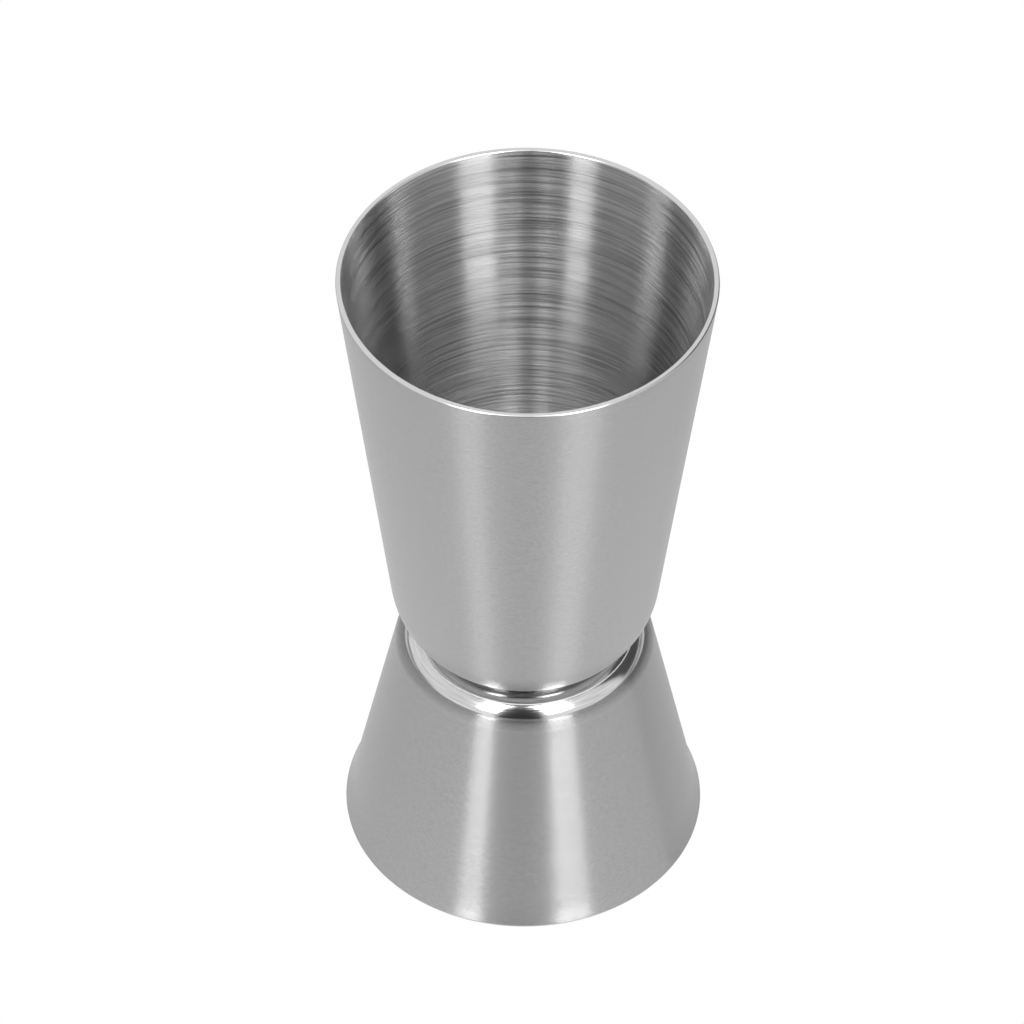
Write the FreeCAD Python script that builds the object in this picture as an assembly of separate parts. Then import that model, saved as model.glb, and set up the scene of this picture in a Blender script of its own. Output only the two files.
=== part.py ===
import FreeCAD, Part
import math
import os

# Double bar jigger: two deep-drawn stainless steel cups, spot-welded floor to floor.
# Millimetres. +Z is the jigger's axis, the small cup's mouth stands on Z = 0, and the
# large cup's mouth opens upward at the top.
#
# Each cup's wall is a walk from its mouth to its floor. A slant is the angle between the
# sheet and the axis: 0 is a straight tube and 90 is the flat floor. A bend is
# (outer radius, slant before, slant after), and its radius is negative where the sheet
# curls the other way, with the outer face inside the curl.

SHEET = 0.6                  # wall thickness of both cups
LIP_ROUND = 0.16             # polished round on both edges of each lip
TRIM = 1.5                   # drawn length beyond the lip, turned off flat

OVERALL_HEIGHT = 79.9
SMALL_DEPTH = 27.77          # small cup, from its lip to the weld face on its floor

LARGE_MOUTH_RADIUS = 20.0
LARGE_TAPER = 6.97
LARGE_BENDS = [(9.25, LARGE_TAPER, 44.4), (6.45, 44.4, 90.0)]

SMALL_MOUTH_RADIUS = 19.73
SMALL_TAPER = 11.66
SMALL_FLARE = (-15.1, 24.5, SMALL_TAPER)     # slight outward curl just above the lip
SMALL_SHOULDER = (1.15, SMALL_TAPER, 78.0)   # where the brushed wall turns over
BOSS_FILLET = (-0.3, 78.0, 27.0)             # foot of the raised weld boss
BOSS_EDGE = (2.5, 27.0, 90.0)
SMALL_BENDS = [SMALL_SHOULDER, BOSS_FILLET, BOSS_EDGE]

WELD_COUNT = 4
WELD_CIRCLE_RADIUS = 4.2
NUGGET_RADIUS = 1.5
NUGGET_REACH = 0.25          # depth of each nugget in either floor
DIMPLE_RADIUS = 1.7          # electrode mark on the face away from the weld
DIMPLE_DEPTH = 0.07

AXIS = FreeCAD.Vector(0, 0, 1)


def bend_drop(bend):
    radius, before, after = bend
    return radius * (math.sin(math.radians(after)) - math.sin(math.radians(before)))


def on_arc(centre, radius, slant):
    """Point of a bend where the sheet has this slant; centre is (radius, height)."""
    angle = math.radians(slant)
    return centre[0] + radius * math.cos(angle), centre[1] - radius * math.sin(angle)


def to_vector(point):
    return FreeCAD.Vector(point[0], 0, point[1])


def wall_edges(mouth_radius, depth, flare, taper, bends, inset):
    """One face of the sheet, mouth up, with the lip at height 0 and the floor at -depth."""
    first_slant = flare[1] if flare else taper
    bends_drop = sum(bend_drop(bend) for bend in bends + ([flare] if flare else []))
    straight = (depth - bends_drop) / math.cos(math.radians(taper))
    slant = math.radians(first_slant)
    here = (mouth_radius - inset * math.cos(slant), inset * math.sin(slant))
    above = (here[0] + TRIM * math.sin(slant), here[1] + TRIM * math.cos(slant))
    edges = [Part.LineSegment(to_vector(above), to_vector(here)).toShape()]

    def add_bend(start, bend):
        radius, before, after = bend[0] - inset, bend[1], bend[2]
        centre = on_arc(start, -radius, before)
        middle, end = on_arc(centre, radius, (before + after) / 2), on_arc(centre, radius, after)
        edges.append(Part.Arc(to_vector(start), to_vector(middle), to_vector(end)).toShape())
        return end

    if flare:
        here = add_bend(here, flare)
    run = (straight * math.sin(math.radians(taper)), straight * math.cos(math.radians(taper)))
    end = (here[0] - run[0], here[1] - run[1])
    edges.append(Part.LineSegment(to_vector(here), to_vector(end)).toShape())
    here = end
    for bend in bends:
        here = add_bend(here, bend)
    edges.append(Part.LineSegment(to_vector(here), to_vector((0, here[1]))).toShape())
    return edges


def ends(edges):
    return edges[0].Vertexes[0].Point, edges[-1].Vertexes[-1].Point


def drawn_cup(mouth_radius, depth, flare, taper, bends):
    """A cup standing mouth up with its weld face at height 0 and its lip trimmed flat."""
    outer = wall_edges(mouth_radius, depth, flare, taper, bends, 0)
    inner = wall_edges(mouth_radius, depth, flare, taper, bends, SHEET)
    outer_top, outer_floor = ends(outer)
    inner_top, inner_floor = ends(inner)
    closing = [
        Part.LineSegment(outer_top, inner_top).toShape(),
        Part.LineSegment(outer_floor, inner_floor).toShape(),
    ]
    outline = Part.Wire(Part.__sortEdges__(outer + inner + closing))
    blank = Part.Face(outline).revolve(FreeCAD.Vector(0, 0, 0), AXIS, 360)
    blank.translate(AXIS * depth)
    waste = Part.makeCylinder(mouth_radius + 5, 5 + TRIM, AXIS * depth)
    cup = blank.cut(waste)
    lip_edges = [edge for edge in cup.Edges if edge.BoundBox.ZMin > depth - 0.001]
    return solid_of(cup.makeFillet(LIP_ROUND, lip_edges))


def solid_of(shape):
    if len(shape.Solids) != 1:
        raise ValueError("expected one solid, got %d" % len(shape.Solids))
    return shape.Solids[0]


def lens(radius, half_thickness, centre):
    """Two equal spherical caps, base to base."""
    ball_radius = (radius ** 2 + half_thickness ** 2) / (2 * half_thickness)
    offset = ball_radius - half_thickness
    low = Part.makeSphere(ball_radius, centre + AXIS * offset)
    high = Part.makeSphere(ball_radius, centre - AXIS * offset)
    return solid_of(low.common(high))


def weld_points(height):
    for index in range(WELD_COUNT):
        angle = math.radians(360 * (index + 0.5) / WELD_COUNT)
        yield FreeCAD.Vector(
            WELD_CIRCLE_RADIUS * math.cos(angle), WELD_CIRCLE_RADIUS * math.sin(angle), height
        )


def nuggets():
    return [lens(NUGGET_RADIUS, NUGGET_REACH, point) for point in weld_points(SMALL_DEPTH)]


def weld_floor(cup, inner_face):
    """Take the nuggets' metal and the electrode marks out of a placed cup's floor."""
    for nugget in nuggets():
        cup = cup.cut(nugget)
    for point in weld_points(inner_face):
        cup = cup.cut(lens(DIMPLE_RADIUS, DIMPLE_DEPTH, point))
    return solid_of(cup)


def large_cup():
    depth = OVERALL_HEIGHT - SMALL_DEPTH
    cup = drawn_cup(LARGE_MOUTH_RADIUS, depth, None, LARGE_TAPER, LARGE_BENDS)
    cup.translate(AXIS * SMALL_DEPTH)
    return weld_floor(cup, SMALL_DEPTH + SHEET)


def small_cup():
    cup = drawn_cup(SMALL_MOUTH_RADIUS, SMALL_DEPTH, SMALL_FLARE, SMALL_TAPER, SMALL_BENDS)
    cup.rotate(FreeCAD.Vector(0, 0, 0), FreeCAD.Vector(1, 0, 0), 180)
    cup.translate(AXIS * SMALL_DEPTH)
    return weld_floor(cup, SMALL_DEPTH - SHEET)


def spot_welds():
    return Part.makeCompound(nuggets())


def save(shape, node):
    if not shape.isValid():
        raise ValueError(node + " is not a valid shape")
    shape.exportStep("parts/" + node + ".step")
    box = shape.BoundBox
    print(node, "volume %.1f mm3" % shape.Volume, "Z %.2f to %.2f" % (box.ZMin, box.ZMax))


def main():
    os.makedirs("parts", exist_ok=True)
    save(large_cup(), "large_cup")
    save(small_cup(), "small_cup")
    save(spot_welds(), "spot_welds")


main()
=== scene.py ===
import math

import bmesh
import bpy
from mathutils import Matrix, Vector


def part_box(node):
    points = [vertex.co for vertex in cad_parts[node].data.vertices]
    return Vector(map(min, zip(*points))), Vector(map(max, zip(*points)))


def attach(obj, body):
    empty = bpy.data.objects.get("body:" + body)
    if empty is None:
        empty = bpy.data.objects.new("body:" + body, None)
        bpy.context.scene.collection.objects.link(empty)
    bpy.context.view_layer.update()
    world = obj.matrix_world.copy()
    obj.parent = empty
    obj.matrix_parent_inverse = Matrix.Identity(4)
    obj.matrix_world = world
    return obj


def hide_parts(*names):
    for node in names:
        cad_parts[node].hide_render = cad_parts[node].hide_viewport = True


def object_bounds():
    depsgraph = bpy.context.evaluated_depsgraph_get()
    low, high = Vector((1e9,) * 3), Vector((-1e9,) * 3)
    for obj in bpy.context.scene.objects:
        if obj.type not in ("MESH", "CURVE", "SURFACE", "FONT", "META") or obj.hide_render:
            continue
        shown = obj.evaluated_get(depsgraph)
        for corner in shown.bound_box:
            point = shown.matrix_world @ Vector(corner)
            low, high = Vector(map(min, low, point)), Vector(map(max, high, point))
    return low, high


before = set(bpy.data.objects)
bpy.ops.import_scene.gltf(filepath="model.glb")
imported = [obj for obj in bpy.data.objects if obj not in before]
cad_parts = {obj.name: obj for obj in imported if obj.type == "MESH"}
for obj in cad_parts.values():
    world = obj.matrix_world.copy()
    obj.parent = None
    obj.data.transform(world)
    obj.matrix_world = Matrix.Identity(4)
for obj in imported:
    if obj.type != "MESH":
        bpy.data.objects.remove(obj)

bl_info = {
    "name": "Double Jigger",
    "version": (1, 0, 0),
    "blender": (4, 5, 0),
    "location": "3D View > Sidebar > Jigger",
    "description": "Two drawn steel cups joined floor to floor, with turned and polished finishes",
    "category": "Add Mesh",
}

MM = 0.001
CAD_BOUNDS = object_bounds()
LARGE_LOW, LARGE_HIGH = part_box("large_cup")
SMALL_LOW, SMALL_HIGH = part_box("small_cup")
BODY = "root"


# ---------------------------------------------------------------- settings

def linear(hex_colour):
    """sRGB hex, such as "C8C6C2", as linear red, green, blue and alpha."""
    channels = [int(hex_colour[i:i + 2], 16) / 255 for i in (0, 2, 4)]
    return tuple(c / 12.92 if c <= 0.04045 else ((c + 0.055) / 1.055) ** 2.4 for c in channels) + (1.0,)


def length(name, description, default_mm, low_mm=0.0):
    return bpy.props.FloatProperty(
        name=name, description=description, default=default_mm * MM, min=low_mm * MM,
        subtype="DISTANCE", unit="LENGTH", precision=5,
    )


def angle(name, description, default_deg):
    return bpy.props.FloatProperty(
        name=name, description=description, default=math.radians(default_deg),
        subtype="ANGLE", unit="ROTATION",
    )


def colour(name, description, default_hex):
    return bpy.props.FloatVectorProperty(
        name=name, description=description, default=linear(default_hex),
        subtype="COLOR", size=4, min=0.0, max=1.0,
    )


class JiggerSheetSettings(bpy.types.PropertyGroup):
    """Sizes that both cups share."""

    gauge: length("Gauge", "Thickness of the steel sheet", 0.6, 0.2)
    lip_round: length("Lip round", "Radius polished on both edges of a lip", 0.16, 0.02)
    facets: bpy.props.IntProperty(
        name="Facets", description="Faces round the axis", default=240, min=48, max=512)
    strip: length("Strip", "Height of the mesh strips on a straight wall", 1.5, 0.2)
    ring: length("Ring", "Width of the mesh rings on a floor", 0.25, 0.1)
    weld_circle: length("Weld circle", "Radius of the ring of spot welds", 4.2)
    nugget_radius: length("Nugget radius", "Radius of each weld nugget", 1.5)
    nugget_reach: length("Nugget reach", "How far a nugget goes into each floor", 0.25)
    dimple_radius: length("Dimple radius", "Radius of each electrode mark", 1.7)
    dimple_depth: length("Dimple depth", "Depth of each electrode mark", 0.07)
    weld_count: bpy.props.IntProperty(name="Welds", description="Number of spot welds", default=4, min=1)


class JiggerLargeSettings(bpy.types.PropertyGroup):
    """Shape of the tall cup."""

    mouth_radius: length("Mouth radius", "Radius where the outer face meets the lip", 20.0)
    taper: angle("Taper", "Slant of the straight wall from the axis", 6.97)
    corner_radius: length("Corner radius", "Outer radius where the wall starts to turn in", 9.25)
    buffed_slant: angle("Buffed slant", "Slant at which the satin ends and the buffing starts", 38.0)
    corner_slant: angle("Corner slant", "Slant at which the corner tightens", 44.4)
    heel_radius: length("Heel radius", "Outer radius that runs into the floor", 6.45)


class JiggerSmallSettings(bpy.types.PropertyGroup):
    """Shape of the short cup."""

    mouth_radius: length("Mouth radius", "Radius where the outer face meets the lip", 19.73)
    taper: angle("Taper", "Slant of the straight wall from the axis", 11.66)
    flare_radius: length("Flare radius", "Outer radius of the outward curl at the lip", 15.1)
    flare_slant: angle("Flare slant", "Slant at the lip", 24.5)
    shoulder_radius: length("Shoulder radius", "Outer radius where the wall turns over", 1.15)
    shoulder_slant: angle("Shoulder slant", "Slant where the shoulder ends", 78.0)
    fillet_radius: length("Fillet radius", "Inward radius at the foot of the weld boss", 0.3)
    boss_slant: angle("Boss slant", "Slant of the boss where it leaves the fillet", 27.0)
    # The ring between the edge slant and the edge slant plus the edge width is the boss's highlight ring:
    # rough steel in a lighter colour, the lighter colour a painted highlight.
    edge_slant: angle("Edge slant", "Slant at which the boss has a rubbed ring", 63.0)
    edge_width: angle("Edge width", "How far round the bend the rubbed ring goes", 3.0)
    boss_radius: length("Boss radius", "Outer radius of the boss's edge", 2.5)


class JiggerFinishSettings(bpy.types.PropertyGroup):
    """Colours of the steel's finishes. Both cups are one steel: the small cup's satin is only set
    darker to give the grey that it shows standing in the table's glow."""

    satin: colour("Satin steel", "Belt-brushed outside of the cups", "C4C4C4")
    # Painted shade: the small cup's satin is the large cup's steel drawn darker, for the grey its light
    # gives it.
    low_satin_painted_shade: colour("Satin steel, small cup", "Brushed outside of the small cup", "B6B6B6")
    turned: colour("Turned steel", "Scratched inside of the cups", "C8C8C8")
    mirror: colour("Mirror steel", "Buffed waist", "CBCBCB")
    lip: colour("Lip steel", "Polished lips", "D0D0D0")
    # Painted highlight, in part: the boss's edge ring is drawn a lighter steel than any other finish to
    # brighten the edge's bright line, which the rough metal also catches from the room.
    highlighted: colour("Rubbed steel", "Ring rubbed on the boss", "D6D6D6")
    # Painted shade: the step's satin is also drawn darker than the large cup's satin, so that it sits in the
    # small cup's grey.
    stepped: colour("Satin steel, step", "Brushed-over step outside the small cup's boss", "BABABA")
    flare_share: bpy.props.FloatProperty(
        name="Flare share", description="How much of the flare's lean shows", default=0.45, min=0.0, max=1.0)
    step_share: bpy.props.FloatProperty(
        name="Step share", description="How much of the step's lean shows", default=0.035, min=0.0, max=1.0)
    weld: colour("Weld steel", "Fused nuggets", "A8A49E")


class JiggerStageSettings(bpy.types.PropertyGroup):
    """Camera, table and lights."""

    floor: colour("Table", "Opal acrylic table", "FFFFFF")
    floor_glow: bpy.props.FloatProperty(
        name="Table glow", description="Radiance of the table as it lights the steel", default=0.80, min=0.0)
    wall: bpy.props.FloatProperty(
        name="Wall", description="Radiance of the white walls", default=1.0, min=0.0)
    overhead: bpy.props.FloatProperty(
        name="Overhead", description="Radiance of the light straight above", default=1.0, min=0.0)
    lens: bpy.props.FloatProperty(name="Lens", description="Focal length in millimetres", default=281.25)
    distance: length("Distance", "Camera to the point it turns round", 861.15)
    target_height: length("Target height", "Height of the point it turns round", 38.0)
    elevation: angle("Elevation", "Camera above the horizon", 46.474)
    roll: angle("Roll", "Camera rolled about its line of sight", 0.488)
    pan: angle("Pan", "Camera turned left off the target", 0.095)
    tilt: angle("Tilt", "Camera turned up off the target", 0.3265)


SETTINGS = {
    "jigger_sheet": JiggerSheetSettings,
    "jigger_large": JiggerLargeSettings,
    "jigger_small": JiggerSmallSettings,
    "jigger_finish": JiggerFinishSettings,
    "jigger_stage": JiggerStageSettings,
}


# ---------------------------------------------------------------- material tools

def new_material(name):
    material = bpy.data.materials.new(name)
    material.use_nodes = True
    material.node_tree.nodes.clear()
    return material


def add(tree, kind, settings=None, **inputs):
    """Add a node. settings are its properties; inputs are values, or sockets to link from."""
    node = tree.nodes.new(kind)
    for key, value in (settings or {}).items():
        setattr(node, key, value)
    for key, value in inputs.items():
        index = key[1:] if key[0] == "i" and key[1:].isdigit() else key.replace("_", " ")
        socket = node.inputs[int(index) if index.isdigit() else index]
        if isinstance(value, bpy.types.NodeSocket):
            tree.links.new(value, socket)
        else:
            socket.default_value = value
    return node


def maths(tree, operation, first, second=0.0, third=0.0):
    return add(tree, "ShaderNodeMath", {"operation": operation}, i0=first, i1=second, i2=third).outputs[0]


def vector_maths(tree, operation, first, second=(0, 0, 0)):
    node = add(tree, "ShaderNodeVectorMath", {"operation": operation}, i0=first)
    socket = node.inputs["Scale"] if operation == "SCALE" else node.inputs[1]
    if isinstance(second, bpy.types.NodeSocket):
        tree.links.new(second, socket)
    else:
        socket.default_value = second
    return node.outputs["Value"] if operation in ("LENGTH", "DOT_PRODUCT") else node.outputs[0]


def ring_space(tree, across_sign):
    """Unit direction out from the axis, and a height that keeps growing from floor to wall."""
    place = add(tree, "ShaderNodeTexCoord").outputs["Object"]
    parts = add(tree, "ShaderNodeSeparateXYZ", Vector=place)
    flat = add(tree, "ShaderNodeCombineXYZ", X=parts.outputs["X"], Y=parts.outputs["Y"]).outputs[0]
    outward = vector_maths(tree, "NORMALIZE", flat)
    reach = vector_maths(tree, "LENGTH", flat)
    across = maths(tree, "MULTIPLY_ADD", reach, across_sign, parts.outputs["Z"])
    return outward, across


def streaks(tree, ring, run_mm, spacing_mm, radius_mm, detail=2.0, offset=0.0):
    """Noise drawn out round the axis: run_mm long and spacing_mm apart. From 0 to 1."""
    outward, across = ring
    turned = vector_maths(tree, "SCALE", outward, radius_mm / run_mm)
    climb = maths(tree, "MULTIPLY_ADD", across, 1 / (spacing_mm * MM), offset)
    lift = add(tree, "ShaderNodeCombineXYZ", Z=climb).outputs[0]
    place = vector_maths(tree, "ADD", turned, lift)
    return add(
        tree, "ShaderNodeTexNoise", {"noise_dimensions": "3D"},
        Vector=place, Scale=1.0, Detail=detail, Roughness=0.6,
    ).outputs["Fac"]


def tilted_normal(tree, across_slope, round_slope, normal=None):
    """Surface normal leant across the scratches and, a little, along them."""
    normal = normal or add(tree, "ShaderNodeNewGeometry").outputs["Normal"]
    tangent = add(tree, "ShaderNodeTangent", {"direction_type": "RADIAL", "axis": "Z"}).outputs[0]
    across = vector_maths(tree, "CROSS_PRODUCT", normal, tangent)
    leant = vector_maths(tree, "ADD", normal, vector_maths(tree, "SCALE", across, across_slope))
    leant = vector_maths(tree, "ADD", leant, vector_maths(tree, "SCALE", tangent, round_slope))
    return vector_maths(tree, "NORMALIZE", leant), tangent


def eased_normal(tree, outward, lean, share):
    """Normal of a wall where the belt evened out a bend: of what the metal leans in past the plain
    wall, only a share shows. lean is the plain wall's, as a slope."""
    parts = add(tree, "ShaderNodeSeparateXYZ", Vector=add(tree, "ShaderNodeNewGeometry").outputs["Normal"])
    flat = add(tree, "ShaderNodeCombineXYZ", X=parts.outputs["X"], Y=parts.outputs["Y"]).outputs[0]
    slope = maths(tree, "DIVIDE", parts.outputs["Z"], vector_maths(tree, "LENGTH", flat))
    slope = maths(tree, "MULTIPLY_ADD", maths(tree, "SUBTRACT", slope, lean), share, lean)
    rise = add(tree, "ShaderNodeCombineXYZ", Z=slope).outputs[0]
    return vector_maths(tree, "NORMALIZE", vector_maths(tree, "ADD", outward, rise))


def steel(tree, base, roughness, anisotropy, normal, tangent):
    return add(
        tree, "ShaderNodeBsdfPrincipled", {"distribution": "MULTI_GGX"},
        Metallic=1.0, Anisotropic=anisotropy, Anisotropic_Rotation=0.25,
        Base_Color=base, Roughness=roughness, Normal=normal, Tangent=tangent,
    ).outputs[0]


def brushed_steel(tree, base, roughness, flank, across_slope, round_slope, facing=None):
    """Steel under scratches too fine to see one by one. Half the light leaves off the ground
    between them and half off their two flanks, so a lamp spreads into a tall soft sheet."""
    sheets = []
    for lean in (0.0, flank, -flank):
        slope = maths(tree, "ADD", across_slope, lean)
        normal, tangent = tilted_normal(tree, slope, round_slope, facing)
        sheets.append(steel(tree, base, roughness, 1.0, normal, tangent))
    flanks = add(tree, "ShaderNodeMixShader", i0=0.5, i1=sheets[1], i2=sheets[2]).outputs[0]
    return add(tree, "ShaderNodeMixShader", i0=0.5, i1=sheets[0], i2=flanks).outputs[0]


def shaded(tree, base, amount):
    """A base colour made lighter or darker by an amount that is 1 where nothing changes."""
    return vector_maths(tree, "SCALE", tuple(base)[:3], amount)


def centred(tree, value, width):
    """A 0 to 1 noise as a slope from about -width / 2 to width / 2."""
    return maths(tree, "MULTIPLY", maths(tree, "SUBTRACT", value, 0.5), width)


# ---------------------------------------------------------------- finishes

def satin_brushed_stainless(name, base, across_sign, lean=0.0, share=1.0):
    """304 stainless sheet, belt-brushed round the axis and then dulled with fine grit: a soft grey
    sheet of light, drawn out up and down the wall, with the faintest grain in it. With a share
    below 1 the belt has evened out the bends next to the plain wall. The real grain is too fine to
    show in the render, so it is drawn as coarse as it needs to show."""
    material = new_material(name)
    tree = material.node_tree
    ring = ring_space(tree, across_sign)
    grain = streaks(tree, ring, run_mm=0.4, spacing_mm=0.15, radius_mm=17.0, detail=1.0)
    bands = streaks(tree, ring, run_mm=20.0, spacing_mm=1.6, radius_mm=17.0, offset=77.0)
    slope = maths(tree, "ADD", centred(tree, grain, 0.06), centred(tree, bands, 0.04))
    tint = maths(tree, "ADD", centred(tree, grain, 0.25), 1.0)
    facing = eased_normal(tree, ring[0], lean, share) if share < 1.0 else None
    surface = brushed_steel(
        tree, shaded(tree, base, tint), 0.24, 0.30, slope, centred(tree, bands, 0.02), facing)
    add(tree, "ShaderNodeOutputMaterial", Surface=surface)
    return material


def turned_stainless(base, across_sign):
    """304 stainless as the drawing and spinning left it inside a cup: nearly bright metal under
    long circular scratches, so lights show as upright bars crossed by light and dark hairlines.
    The real hairs are too fine to show in the render, so they are drawn as coarse as they need."""
    material = new_material("turned_stainless")
    tree = material.node_tree
    ring = ring_space(tree, across_sign)
    hairs = streaks(tree, ring, run_mm=12.0, spacing_mm=0.24, radius_mm=17.0, offset=31.0)
    rows = streaks(tree, ring, run_mm=40.0, spacing_mm=1.3, radius_mm=17.0, offset=57.0)
    # Painted shade: the sharpest hairs are drawn darker, for the shade in the scratches' valleys.
    painted_scratch_shade = add(tree, "ShaderNodeMapRange", {"interpolation_type": "SMOOTHSTEP"},
              Value=hairs, From_Min=0.62, From_Max=0.70).outputs[0]
    # Painted light and shade: the hairs and rows lighten and darken the colour, for the glints and shade
    # along the scratches; the slope below leans the normal as real scratches do.
    tint = maths(tree, "ADD", centred(tree, hairs, 2.6), centred(tree, rows, 0.5))
    tint = maths(tree, "SUBTRACT", maths(tree, "ADD", tint, 1.0), maths(tree, "MULTIPLY", painted_scratch_shade, 0.35))
    slope = maths(tree, "ADD", centred(tree, hairs, 0.5), centred(tree, rows, 0.3))
    surface = brushed_steel(tree, shaded(tree, base, tint), 0.24, 0.32, slope, centred(tree, rows, 0.03))
    add(tree, "ShaderNodeOutputMaterial", Surface=surface)
    return material


def mirror_stainless(base, across_sign):
    """304 stainless buffed bright: sharp reflections, broken by a few stray hairlines."""
    material = new_material("mirror_stainless")
    tree = material.node_tree
    ring = ring_space(tree, across_sign)
    hair = streaks(tree, ring, run_mm=3.0, spacing_mm=0.12, radius_mm=12.0)
    tint = maths(tree, "ADD", centred(tree, hair, 0.8), 1.0)
    normal, tangent = tilted_normal(tree, centred(tree, hair, 0.15), centred(tree, hair, 0.02))
    surface = steel(tree, shaded(tree, base, tint), 0.15, 0.5, normal, tangent)
    add(tree, "ShaderNodeOutputMaterial", Surface=surface)
    return material


def polished_lip_stainless(base, across_sign):
    """304 stainless lip, turned flat and rounded on a wheel: a bright ring with fine turning lines."""
    material = new_material("polished_lip_stainless")
    tree = material.node_tree
    ring = ring_space(tree, across_sign)
    lines = streaks(tree, ring, run_mm=8.0, spacing_mm=0.10, radius_mm=19.7)
    normal, tangent = tilted_normal(tree, centred(tree, lines, 0.10), centred(tree, lines, 0.01))
    surface = steel(tree, tuple(base), 0.22, 0.6, normal, tangent)
    add(tree, "ShaderNodeOutputMaterial", Surface=surface)
    return material


def highlighted_ring_stainless(base):
    """304 stainless in a thin ring where the boss turns over, rough and drawn a lighter steel than the rest:
    no direction to it, so it takes one even light tone from the whole room and draws a bright line round the
    boss. The line is the highlight of the edge's rounding: the roughness catches the room's light, and the
    lighter colour is painted highlight."""
    material = new_material("highlighted_ring_stainless")
    tree = material.node_tree
    place = add(tree, "ShaderNodeTexCoord").outputs["Object"]
    grit = add(tree, "ShaderNodeTexNoise", Vector=place, Scale=1 / (0.2 * MM), Detail=2.0).outputs["Fac"]
    tint = maths(tree, "ADD", centred(tree, grit, 0.15), 1.0)
    shader = add(
        tree, "ShaderNodeBsdfPrincipled", {"distribution": "MULTI_GGX"},
        Metallic=1.0, Base_Color=shaded(tree, base, tint), Roughness=0.75)
    add(tree, "ShaderNodeOutputMaterial", Surface=shader.outputs[0])
    return material


def fused_weld_steel(base):
    """304 stainless melted and frozen in a spot weld: dull grey with a fine cast grain."""
    material = new_material("fused_weld_steel")
    tree = material.node_tree
    place = add(tree, "ShaderNodeTexCoord").outputs["Object"]
    grain = add(tree, "ShaderNodeTexNoise", Vector=place, Scale=1 / (0.3 * MM), Detail=4.0)
    roughness = add(tree, "ShaderNodeMapRange", Value=grain.outputs[0], To_Min=0.4, To_Max=0.6)
    bump = add(tree, "ShaderNodeBump", Strength=0.4, Distance=0.03 * MM, Height=grain.outputs[0])
    shader = add(
        tree, "ShaderNodeBsdfPrincipled", Metallic=1.0, Base_Color=tuple(base),
        Roughness=roughness.outputs[0], Normal=bump.outputs[0])
    add(tree, "ShaderNodeOutputMaterial", Surface=shader.outputs[0])
    return material


# The table's glow is full out to the first distance in metres and fades to a share of itself at
# the second.
GLOW_FULL, GLOW_FADED, GLOW_LEFT = 0.08, 0.30, 0.3


def opal_acrylic(base, glow):
    """Cast opal acrylic sheet lit from below: an even, shadowless white to the eye. It glows
    more softly on the steel, as a table does whose light leaves it mostly upwards."""
    material = new_material("opal_acrylic")
    tree = material.node_tree
    place = add(tree, "ShaderNodeTexCoord").outputs["Object"]
    pool = add(tree, "ShaderNodeMapRange", {"interpolation_type": "SMOOTHSTEP"},
               Value=vector_maths(tree, "LENGTH", place), From_Min=GLOW_FULL, From_Max=GLOW_FADED,
               To_Min=glow, To_Max=GLOW_LEFT * glow).outputs[0]
    seen = add(tree, "ShaderNodeLightPath").outputs["Is Camera Ray"]
    strength = add(tree, "ShaderNodeMix", Factor=seen, i2=pool, i3=1.0).outputs[0]
    shader = add(tree, "ShaderNodeEmission", Color=tuple(base), Strength=strength)
    add(tree, "ShaderNodeOutputMaterial", Surface=shader.outputs[0])
    return material


# ---------------------------------------------------------------- shape of a cup

SATIN, MIRROR, TURNED, LIP, HIGHLIGHTED, STEPPED = range(6)
ARC_STEP = math.radians(3.0)
LIP_STEPS = 6


def bend_drop(bend):
    radius, before, after = bend
    return radius * (math.sin(after) - math.sin(before))


def on_arc(centre, radius, slant):
    return centre[0] + radius * math.cos(slant), centre[1] - radius * math.sin(slant)


def wall(shape, inset, straight_step):
    """One face of a mouth-up cup's sheet, from the lip at height 0 down to the floor at -depth,
    as (radius, height, finish). A bend is (outer radius, slant before, slant after, finish)."""
    flare = [shape["flare"]] if shape["flare"] else []
    taper = shape["taper"]
    bends_drop = sum(bend_drop(bend[:3]) for bend in shape["bends"] + flare)
    straight = (shape["depth"] - bends_drop) / math.cos(taper)
    slant = flare[0][1] if flare else taper
    points = [(shape["mouth_radius"] - inset * math.cos(slant), inset * math.sin(slant), SATIN)]

    def add_bend(bend):
        radius, before, after, finish = bend[0] - inset, *bend[1:]
        centre = on_arc(points[-1], -radius, before)
        steps = max(4, math.ceil(abs(after - before) / ARC_STEP))
        for step in range(1, steps + 1):
            points.append(on_arc(centre, radius, before + (after - before) * step / steps) + (finish,))

    for bend in flare:
        add_bend(bend)
    steps = math.ceil(straight / straight_step)
    start, run = points[-1], (straight * math.sin(taper), straight * math.cos(taper))
    for step in range(1, steps + 1):
        points.append((start[0] - run[0] * step / steps, start[1] - run[1] * step / steps, SATIN))
    for bend in shape["bends"]:
        add_bend(bend)
    return points


def trimmed(face):
    """The part of a face below the lip's plane, starting where it crosses that plane."""
    high = [point for point in face if point[1] >= 0][-1]
    below = [point for point in face if point[1] < 0]
    share = high[1] / (high[1] - below[0][1])
    return [(high[0] + (below[0][0] - high[0]) * share, 0.0, SATIN)] + below


def rounded(face, along, radius):
    """Round off the corner between a face and the lip. along is the way across the lip."""
    corner = Vector(face[0][:2])
    down = (Vector(face[1][:2]) - corner).normalized()
    half = down.angle(along) / 2
    centre = corner + (down + along).normalized() * (radius / math.sin(half))
    setback = radius / math.tan(half)
    first, last = corner + down * setback - centre, corner + along * setback - centre
    turn = -first.angle_signed(last)
    round_points = [
        (*(centre + Matrix.Rotation(turn * step / LIP_STEPS, 2) @ first), LIP)
        for step in range(LIP_STEPS + 1)
    ]
    return round_points, [point for point in face[1:] if point[1] < round_points[0][1]]


def floor_rings(edge_radius, step):
    """Radii across a flat floor, from its edge in to the last ring round the axis."""
    count = round(edge_radius / step)
    return [edge_radius * (1 - ring / count) for ring in range(1, count)]


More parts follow.
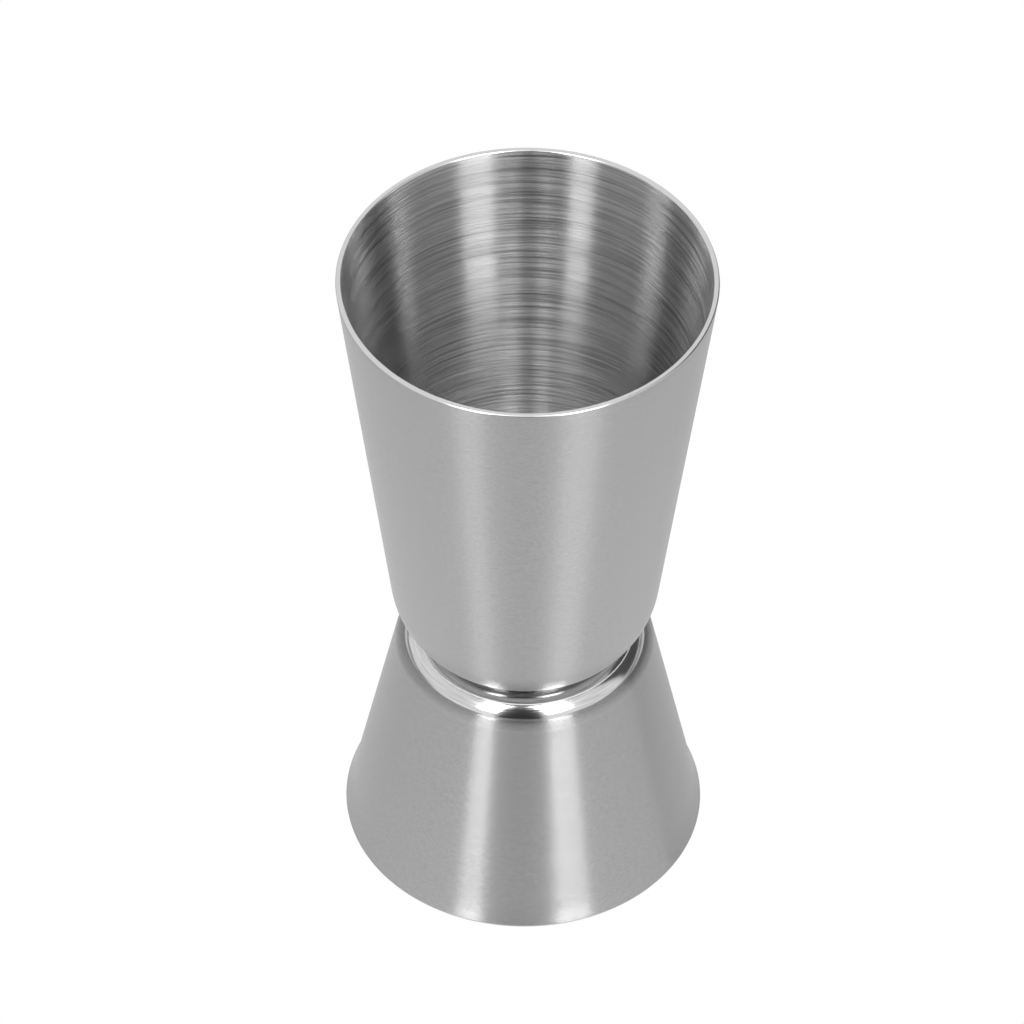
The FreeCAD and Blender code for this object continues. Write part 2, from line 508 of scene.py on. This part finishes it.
def cup_section(shape, sheet):
    """Half of a cup's section, from the axis under the floor, up the outside, over the lip and
    down the inside to the axis. Each point carries the finish of the strip that starts there."""
    outer = trimmed(wall(shape, 0.0, sheet.strip))
    inner = trimmed(wall(shape, sheet.gauge, sheet.strip))
    outer_round, outer = rounded(outer, Vector((-1.0, 0.0)), sheet.lip_round)
    inner_round, inner = rounded(inner, Vector((1.0, 0.0)), sheet.lip_round)
    inner = [(radius, height, TURNED) for radius, height, _ in inner]
    inner_round[0] = (*inner_round[0][:2], TURNED)
    under, floor = outer[-1][1], inner[-1][1]
    section = [(0.0, under, shape["under"])]
    section += [(radius, under, shape["under"]) for radius in floor_rings(outer[-1][0], sheet.ring)[::-1]]
    section += outer[::-1] + outer_round + inner_round[::-1] + inner
    section += [(radius, floor, TURNED) for radius in floor_rings(inner[-1][0], sheet.ring)]
    return section + [(0.0, floor, TURNED)]


def dish(place, sheet, radius, depth):
    """How deep the spherical dishes over the spot welds are at this place on a floor."""
    ball = (radius ** 2 + depth ** 2) / (2 * depth)
    deepest = 0.0
    for index in range(sheet.weld_count):
        turn = 2 * math.pi * (index + 0.5) / sheet.weld_count
        centre = sheet.weld_circle * Vector((math.cos(turn), math.sin(turn)))
        distance = (place.xy - centre).length
        if distance < radius:
            deepest = math.sqrt(ball ** 2 - distance ** 2) - (ball - depth)
    return deepest


def lathe_cup(name, shape, sheet, materials, to_frame):
    """Turn a cup's section round the axis as one closed mesh, press the weld marks into its
    floor and set it in the frame. to_frame takes a height above the lip to a height in the frame."""
    section = cup_section(shape, sheet)
    under, floor = section[0][1], section[-1][1]
    mesh = bmesh.new()
    rings = []
    for radius, height, _ in section:
        around = 1 if radius == 0.0 else sheet.facets
        ring = []
        for index in range(around):
            turn = 2 * math.pi * index / around
            place = Vector((radius * math.cos(turn), radius * math.sin(turn), height))
            if height == under:
                place.z += dish(place, sheet, sheet.nugget_radius, sheet.nugget_reach)
            if height == floor:
                place.z -= dish(place, sheet, sheet.dimple_radius, sheet.dimple_depth)
            place.z = to_frame(place.z)
            ring.append(mesh.verts.new(place))
        rings.append(ring)
    for (_, _, finish), low, high in zip(section, rings, rings[1:]):
        for index in range(sheet.facets):
            after = (index + 1) % sheet.facets
            corners = [low[index % len(low)], low[after % len(low)],
                       high[after % len(high)], high[index % len(high)]]
            face = mesh.faces.new(list(dict.fromkeys(corners)))
            face.material_index = finish
            face.smooth = True
    bmesh.ops.recalc_face_normals(mesh, faces=mesh.faces)
    data = bpy.data.meshes.new(name)
    mesh.to_mesh(data)
    mesh.free()
    for material in materials:
        data.materials.append(material)
    cup = bpy.data.objects.new(name, data)
    bpy.context.scene.collection.objects.link(cup)
    return cup


def cup_finishes(finish, across_sign, satin, stepped):
    """Materials in the order of SATIN, MIRROR, TURNED, LIP, HIGHLIGHTED and STEPPED."""
    return [
        satin,
        mirror_stainless(finish.mirror, across_sign),
        turned_stainless(finish.turned, across_sign),
        polished_lip_stainless(finish.lip, across_sign),
        highlighted_ring_stainless(finish.highlighted),
        stepped,
    ]


# ---------------------------------------------------------------- operators

class JIGGER_OT_large_cup(bpy.types.Operator):
    """Build the tall cup, mouth up, in place of its plain shell"""

    bl_idname = "jigger.large_cup"
    bl_label = "Large Cup"

    def execute(self, context):
        scene = context.scene
        large, sheet = scene.jigger_large, scene.jigger_sheet
        shape = {
            "mouth_radius": large.mouth_radius,
            "depth": LARGE_HIGH.z - LARGE_LOW.z,
            "flare": None,
            "taper": large.taper,
            "bends": [
                (large.corner_radius, large.taper, large.buffed_slant, SATIN),
                (large.corner_radius, large.buffed_slant, large.corner_slant, MIRROR),
                (large.heel_radius, large.corner_slant, math.pi / 2, MIRROR),
            ],
            "under": MIRROR,
        }
        finish = scene.jigger_finish
        satin = satin_brushed_stainless("satin_brushed_stainless", finish.satin, 1.0)
        finishes = cup_finishes(finish, 1.0, satin, satin)
        cup = lathe_cup("large_cup_shell", shape, sheet, finishes, lambda height: LARGE_HIGH.z + height)
        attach(cup, BODY)
        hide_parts("large_cup")
        return {"FINISHED"}


class JIGGER_OT_small_cup(bpy.types.Operator):
    """Build the short cup, mouth down, in place of its plain shell"""

    bl_idname = "jigger.small_cup"
    bl_label = "Small Cup"

    def execute(self, context):
        scene = context.scene
        small, sheet = scene.jigger_small, scene.jigger_sheet
        shape = {
            "mouth_radius": small.mouth_radius,
            "depth": SMALL_HIGH.z - SMALL_LOW.z,
            "flare": (-small.flare_radius, small.flare_slant, small.taper, SATIN),
            "taper": small.taper,
            "bends": [
                (small.shoulder_radius, small.taper, small.shoulder_slant, STEPPED),
                (-small.fillet_radius, small.shoulder_slant, small.boss_slant, STEPPED),
                (small.boss_radius, small.boss_slant, small.edge_slant, MIRROR),
                # The highlight ring round the boss's edge: partly painted highlight.
                (small.boss_radius, small.edge_slant, small.edge_slant + small.edge_width, HIGHLIGHTED),
                (small.boss_radius, small.edge_slant + small.edge_width, math.pi / 2, MIRROR),
            ],
            "under": MIRROR,
        }
        finish, lean = scene.jigger_finish, math.tan(small.taper)
        # The small cup's satin and step take darker colours than the large cup's satin: painted shade.
        satin = satin_brushed_stainless(
            "satin_brushed_flared_stainless", finish.low_satin_painted_shade, -1.0, lean, finish.flare_share)
        stepped = satin_brushed_stainless(
            "satin_overbrushed_stainless", finish.stepped, -1.0, lean, finish.step_share)
        finishes = cup_finishes(finish, -1.0, satin, stepped)
        cup = lathe_cup("small_cup_shell", shape, sheet, finishes, lambda height: SMALL_LOW.z - height)
        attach(cup, BODY)
        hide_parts("small_cup")
        return {"FINISHED"}


class JIGGER_OT_spot_welds(bpy.types.Operator):
    """Give the weld nuggets between the floors their fused-metal finish"""

    bl_idname = "jigger.spot_welds"
    bl_label = "Spot Welds"

    def execute(self, context):
        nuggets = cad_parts["spot_welds"]
        material = fused_weld_steel(context.scene.jigger_finish.weld)
        if nuggets.material_slots:
            for material_slot in nuggets.material_slots:
                material_slot.material = material
        else:
            nuggets.data.materials.append(material)
        return {"FINISHED"}


class JIGGER_OT_stage(bpy.types.Operator):
    """Set the table, the lights and the camera"""

    bl_idname = "jigger.stage"
    bl_label = "Stage"

    def execute(self, context):
        stage = context.scene.jigger_stage
        table(stage)
        for name, azimuth, elevation, width, height, radiance in SOFTBOXES:
            softbox(name, azimuth, elevation, width, height, radiance)
        room(context.scene, stage)
        camera(context.scene, stage)
        return {"FINISHED"}


# Each tall softbox: name, azimuth right of the camera, elevation, width and height as seen from
# the object, all in degrees, and radiance.
SOFTBOXES = [
    ("softbox_left_low", -32, 36, 12, 20, 16.0),
    ("softbox_left_high", -32, 61, 12, 30, 7.0),
    ("softbox_right_low", 31, 36, 17, 20, 15.5),
    ("softbox_right_high", 31, 61, 17, 30, 6.5),
]
SOFTBOX_DISTANCE = 0.9
# Each dark gap in the walls: azimuth of its middle and half its width, in degrees, and radiance.
DARK_GAPS = [(-3, 19, 0.02), (120, 28, 0.10)]
GAP_BLUR = 4        # degrees to each side of a gap's edge over which it fades
SKIRTING_TOP = 7    # elevation in degrees up to which the lit wall runs under the gaps
OVERHEAD_FADE = (66, 74)    # elevations in degrees between which the wall turns into the overhead


def direction(azimuth, elevation):
    """Unit vector from the object, azimuth measured to the right of the camera's side."""
    side, climb = math.radians(azimuth), math.radians(elevation)
    return Vector((math.sin(side) * math.cos(climb), -math.cos(side) * math.cos(climb), math.sin(climb)))


def softbox(name, azimuth, elevation, width, height, radiance):
    light = bpy.data.lights.new(name, "AREA")
    light.shape = "RECTANGLE"
    light.size = 2 * SOFTBOX_DISTANCE * math.tan(math.radians(width) / 2)
    light.size_y = 2 * SOFTBOX_DISTANCE * math.tan(math.radians(height) / 2)
    light.energy = radiance * math.pi * light.size * light.size_y
    lamp = bpy.data.objects.new(name, light)
    towards = direction(azimuth, elevation)
    lamp.location = Vector((0, 0, LARGE_LOW.z)) + towards * SOFTBOX_DISTANCE
    lamp.rotation_euler = towards.to_track_quat("Z", "Y").to_euler()
    lamp.visible_camera = False
    bpy.context.scene.collection.objects.link(lamp)


def table(stage):
    mesh = bmesh.new()
    bmesh.ops.create_grid(mesh, x_segments=8, y_segments=8, size=2.0)
    data = bpy.data.meshes.new("table")
    mesh.to_mesh(data)
    mesh.free()
    data.materials.append(opal_acrylic(stage.floor, stage.floor_glow))
    sheet = bpy.data.objects.new("table", data)
    sheet.location.z = CAD_BOUNDS[0].z
    bpy.context.scene.collection.objects.link(sheet)


def room(scene, stage):
    """Evenly lit white walls, broken above a lit skirting by a dark gap behind the camera and a
    dark doorway behind the object to the right, and an overhead light. Past the table the eye
    sees only white."""
    world = bpy.data.worlds.new("room")
    world.use_nodes = True
    tree = world.node_tree
    tree.nodes.clear()
    way = add(tree, "ShaderNodeTexCoord").outputs["Generated"]
    parts = add(tree, "ShaderNodeSeparateXYZ", Vector=way)
    flat = add(tree, "ShaderNodeCombineXYZ", X=parts.outputs["X"], Y=parts.outputs["Y"]).outputs[0]
    level = vector_maths(tree, "NORMALIZE", flat)
    lit = stage.wall
    for azimuth, half_width, left_over in DARK_GAPS:
        near = vector_maths(tree, "DOT_PRODUCT", level, tuple(direction(azimuth, 0)))
        lit = add(
            tree, "ShaderNodeMapRange", {"interpolation_type": "SMOOTHSTEP"}, Value=near,
            From_Min=math.cos(math.radians(half_width + GAP_BLUR)),
            From_Max=math.cos(math.radians(half_width - GAP_BLUR)),
            To_Min=lit, To_Max=left_over).outputs[0]
    lit = add(
        tree, "ShaderNodeMapRange", {"interpolation_type": "SMOOTHSTEP"}, Value=parts.outputs["Z"],
        From_Min=0.0, From_Max=math.sin(math.radians(SKIRTING_TOP)),
        To_Min=stage.wall, To_Max=lit).outputs[0]
    low, high = OVERHEAD_FADE
    lit = add(
        tree, "ShaderNodeMapRange", {"interpolation_type": "SMOOTHSTEP"}, Value=parts.outputs["Z"],
        From_Min=math.sin(math.radians(low)), From_Max=math.sin(math.radians(high)),
        To_Min=lit, To_Max=stage.overhead).outputs[0]
    seen = add(tree, "ShaderNodeLightPath").outputs["Is Camera Ray"]
    strength = add(tree, "ShaderNodeMix", Factor=seen, i2=lit, i3=1.0).outputs[0]
    shader = add(tree, "ShaderNodeBackground", Color=tuple(stage.floor), Strength=strength)
    add(tree, "ShaderNodeOutputWorld", Surface=shader.outputs[0])
    scene.world = world


def camera(scene, stage):
    data = bpy.data.cameras.new("camera")
    data.sensor_width = 36.0
    data.lens = stage.lens
    eye = bpy.data.objects.new("camera", data)
    towards = direction(0.0, math.degrees(stage.elevation))
    target = Vector((0, 0, stage.target_height))
    look = (-towards).to_track_quat("-Z", "Y").to_matrix()
    turned = look @ Matrix.Rotation(stage.roll, 3, "Z")
    turned = turned @ Matrix.Rotation(stage.pan, 3, "Y") @ Matrix.Rotation(stage.tilt, 3, "X")
    eye.rotation_euler = turned.to_euler()
    eye.location = target + towards * stage.distance
    scene.collection.objects.link(eye)
    scene.camera = eye
    scene.view_settings.view_transform = "Standard"


class JIGGER_PT_panel(bpy.types.Panel):
    """The steps that make the jigger, in order"""

    bl_idname = "JIGGER_PT_panel"
    bl_label = "Double Jigger"
    bl_space_type = "VIEW_3D"
    bl_region_type = "UI"
    bl_category = "Jigger"

    def draw(self, context):
        for operator in OPERATORS:
            self.layout.operator(operator.bl_idname)
        for name in SETTINGS:
            settings = getattr(context.scene, name)
            box = self.layout.box()
            for field in settings.bl_rna.properties:
                if field.identifier not in ("rna_type", "name"):
                    box.prop(settings, field.identifier)


OPERATORS = [JIGGER_OT_large_cup, JIGGER_OT_small_cup, JIGGER_OT_spot_welds, JIGGER_OT_stage]


def register():
    for settings in SETTINGS.values():
        bpy.utils.register_class(settings)
    for name, settings in SETTINGS.items():
        setattr(bpy.types.Scene, name, bpy.props.PointerProperty(type=settings))
    for shown in OPERATORS + [JIGGER_PT_panel]:
        bpy.utils.register_class(shown)


def unregister():
    for shown in [JIGGER_PT_panel] + OPERATORS[::-1]:
        bpy.utils.unregister_class(shown)
    for name, settings in SETTINGS.items():
        delattr(bpy.types.Scene, name)
        bpy.utils.unregister_class(settings)


def main():
    register()
    bpy.ops.jigger.large_cup()
    bpy.ops.jigger.small_cup()
    bpy.ops.jigger.spot_welds()
    bpy.ops.jigger.stage()


if __name__ == "__main__":
    main()
